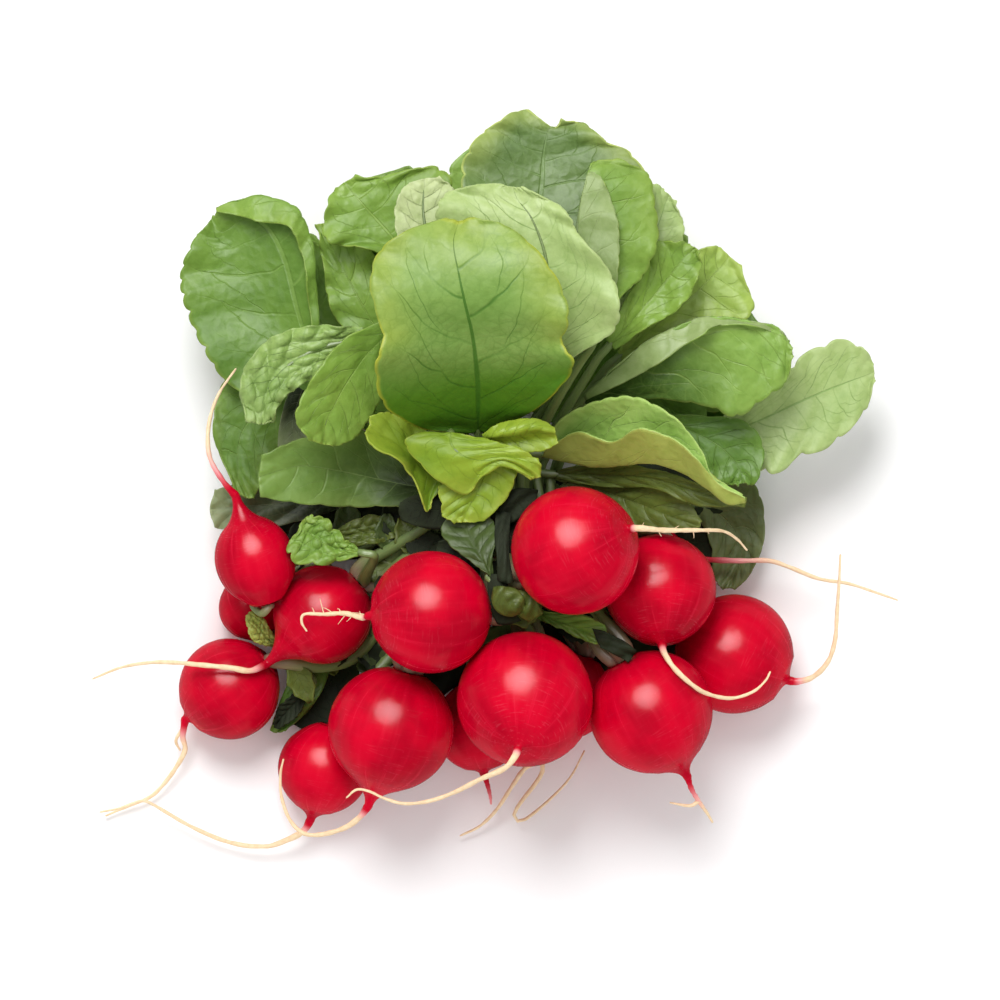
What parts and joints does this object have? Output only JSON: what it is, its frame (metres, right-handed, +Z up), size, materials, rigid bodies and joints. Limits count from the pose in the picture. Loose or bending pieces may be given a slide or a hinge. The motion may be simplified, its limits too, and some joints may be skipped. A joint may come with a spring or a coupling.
{
  "type": "bunch of radishes",
  "caption": "Tied bunch of round red radishes lying on its side, roots outward and leaves fanned out behind.",
  "frame": {"origin": "on the table, under the middle of the bunch's bounding box", "axes": "+Z up from the table; +Y toward the leaves, away from the radishes; +X to the right seen from above with the leaves at the top"},
  "size_m": [0.195, 0.178, 0.0813],
  "materials": {
    "radish_skin": "smooth waxy red vegetable skin, cream toward the tip of the root",
    "leaf_pale": "soft pale green leaf with a net of veins",
    "leaf_green": "soft mid green leaf with a net of veins",
    "leaf_dark": "deep green leaf with a net of veins",
    "band_rubber": "plain tan rubber"
  },
  "bodies": {
    "root": {"radish_01": "radish_skin", "radish_02": "radish_skin", "radish_03": "radish_skin", "radish_04": "radish_skin", "radish_05": "radish_skin", "radish_06": "radish_skin", "radish_07": "radish_skin", "radish_08": "radish_skin", "radish_09": "radish_skin", "radish_10": "radish_skin", "radish_11": "radish_skin", "radish_12": "radish_skin", "radish_13": "radish_skin", "radish_14": "radish_skin", "radish_15": "radish_skin", "leaf_01_a": "leaf_green", "leaf_01_b": "leaf_dark", "leaf_02_a": "leaf_pale", "leaf_02_b": "leaf_green", "leaf_02_c": "leaf_pale", "leaf_02_d": "leaf_green", "leaf_03_a": "leaf_dark", "leaf_03_b": "leaf_pale", "leaf_03_c": "leaf_pale", "leaf_03_d": "leaf_pale", "leaf_04_a": "leaf_pale", "leaf_04_b": "leaf_pale", "leaf_04_c": "leaf_pale", "leaf_04_d": "leaf_pale", "leaf_05_a": "leaf_green", "leaf_05_b": "leaf_green", "leaf_05_c": "leaf_green", "leaf_06_a": "leaf_dark", "leaf_06_b": "leaf_dark", "leaf_07_a": "leaf_pale", "leaf_07_b": "leaf_pale", "leaf_07_c": "leaf_green", "leaf_07_d": "leaf_green", "leaf_08_a": "leaf_dark", "leaf_08_b": "leaf_green", "leaf_08_c": "leaf_dark", "leaf_09_a": "leaf_green", "leaf_09_b": "leaf_green", "leaf_09_c": "leaf_dark", "leaf_09_d": "leaf_pale", "leaf_10_a": "leaf_dark", "leaf_10_b": "leaf_dark", "leaf_11_a": "leaf_dark", "leaf_11_b": "leaf_dark", "leaf_12_a": "leaf_green", "leaf_12_b": "leaf_dark", "leaf_13_a": "leaf_dark", "leaf_13_b": "leaf_dark", "leaf_14_a": "leaf_dark", "leaf_14_b": "leaf_dark", "leaf_14_c": "leaf_dark", "leaf_15_a": "leaf_pale", "leaf_15_b": "leaf_dark", "tie_band": "band_rubber"}
  },
  "joints": []
}
